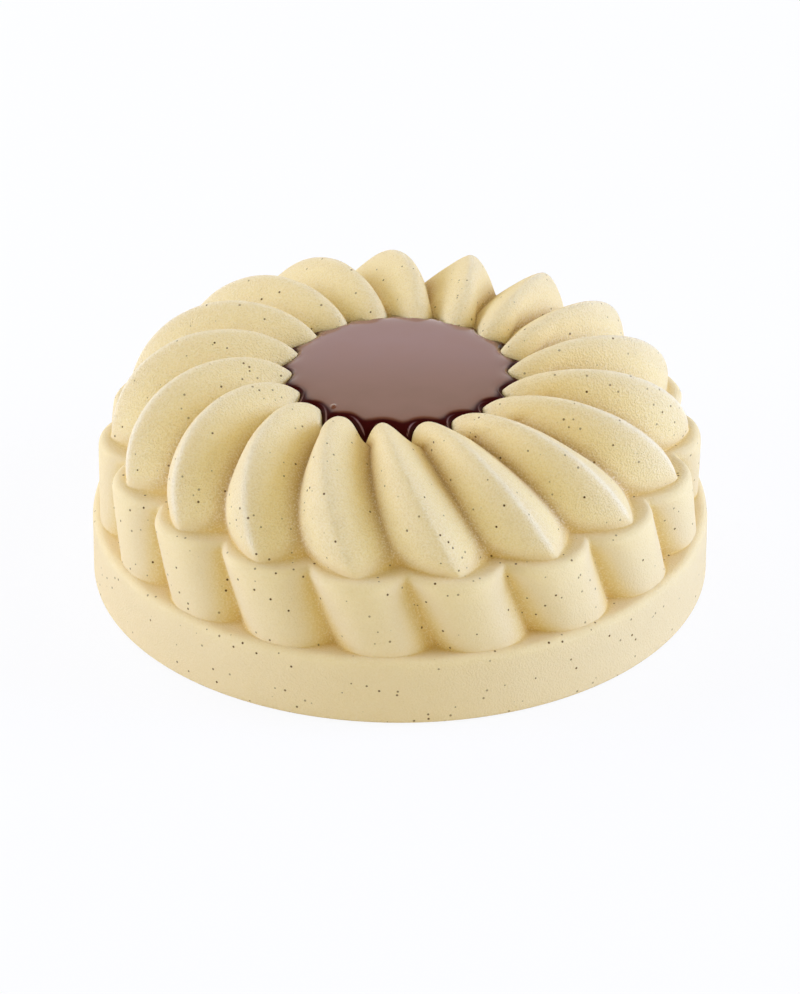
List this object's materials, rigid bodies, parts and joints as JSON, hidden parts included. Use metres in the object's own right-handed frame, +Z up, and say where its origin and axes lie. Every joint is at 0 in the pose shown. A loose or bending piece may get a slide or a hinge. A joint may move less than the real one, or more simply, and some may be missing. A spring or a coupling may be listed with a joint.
{
  "type": "fluted mousse cake",
  "caption": "Round mousse cake cast in a fluted mould: spiral petals around a glazed well, a ruff of leaning lobes and a smooth plinth, with biscuit and caramel layers inside.",
  "frame": {"origin": "the middle of the flat underside", "axes": "+Z up along the cake's round axis, -Y towards the pictured front"},
  "size_m": [0.18, 0.18, 0.0714],
  "materials": {
    "mousse_body": "velvet-sprayed, matt, with fine dark vanilla specks",
    "glaze_pool": "mirror-smooth, dark red-brown",
    "base_biscuit": "baked, open crumb",
    "praline_crunch": "coarse, slightly oily",
    "vanilla_sponge": "soft open crumb",
    "caramel_cremeux": "smooth, satin",
    "soft_caramel": "smooth, glossy"
  },
  "bodies": {
    "root": {"mousse_body": "mousse_body", "glaze_pool": "glaze_pool", "base_biscuit": "base_biscuit", "praline_crunch": "praline_crunch", "vanilla_sponge": "vanilla_sponge", "caramel_cremeux": "caramel_cremeux", "soft_caramel": "soft_caramel"}
  },
  "joints": []
}
